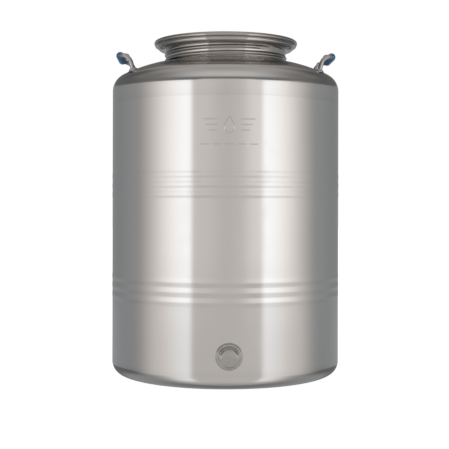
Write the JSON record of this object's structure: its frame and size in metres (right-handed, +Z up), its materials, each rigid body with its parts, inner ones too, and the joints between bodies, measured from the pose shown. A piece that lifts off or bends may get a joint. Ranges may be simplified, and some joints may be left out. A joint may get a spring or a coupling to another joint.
{
  "type": "steel milk drum",
  "caption": "Upright welded steel milk drum with a dished screw lid, side handles with ribbed sleeves and a plugged outlet near its base.",
  "frame": {"origin": "middle of the drum at the level it stands on", "axes": "+Z up along the drum's axis, -Y towards the outlet, handles at -X and +X"},
  "size_m": [0.3605, 0.3794, 0.5276],
  "materials": {
    "sheet_steel": "satin",
    "lid_steel": "polished",
    "wire_steel": "polished",
    "fitting_steel": "turned",
    "grip_plastic": "semi-gloss",
    "seal_rubber": "matte"
  },
  "bodies": {
    "drum": {"barrel": "sheet_steel", "bottom_head": "sheet_steel", "shoulder_head": "sheet_steel", "neck_ring": "sheet_steel", "outlet_boss": "fitting_steel", "left_handle_rod": "wire_steel", "left_handle_grip": "grip_plastic", "left_front_handle_foot": "wire_steel", "left_rear_handle_foot": "wire_steel", "right_handle_rod": "wire_steel", "right_handle_grip": "grip_plastic", "right_front_handle_foot": "wire_steel", "right_rear_handle_foot": "wire_steel"},
    "lid_seal": {"lid_gasket": "seal_rubber"},
    "lid": {"lid_skirt": "lid_steel", "lid_top_plate": "lid_steel"},
    "plug_seal": {"outlet_gasket": "seal_rubber"},
    "plug": {"outlet_plug": "fitting_steel"}
  },
  "joints": [
    {"name": "lid_rise", "type": "slide", "parent": "drum", "child": "lid_seal", "axis": [0, 0, 1], "range_m": [0, 0.0373]},
    {"name": "lid_turn", "type": "hinge", "parent": "lid_seal", "child": "lid", "pos_m": [0, 0, 0.5], "axis": [0, 0, 1], "range_deg": [0, 1440]},
    {"name": "plug_out", "type": "slide", "parent": "drum", "child": "plug_seal", "axis": [0, -1, 0], "range_m": [0, 0.0151]},
    {"name": "plug_turn", "type": "hinge", "parent": "plug_seal", "child": "plug", "pos_m": [0, -0.19, 0.05], "axis": [0, -1, 0], "range_deg": [0, 2160]}
  ],
  "couplings": [
    {"joint": "lid_rise", "follows": "lid_turn", "m_per_rad": 0.0014801},
    {"joint": "plug_out", "follows": "plug_turn", "m_per_rad": 0.00039789}
  ]
}
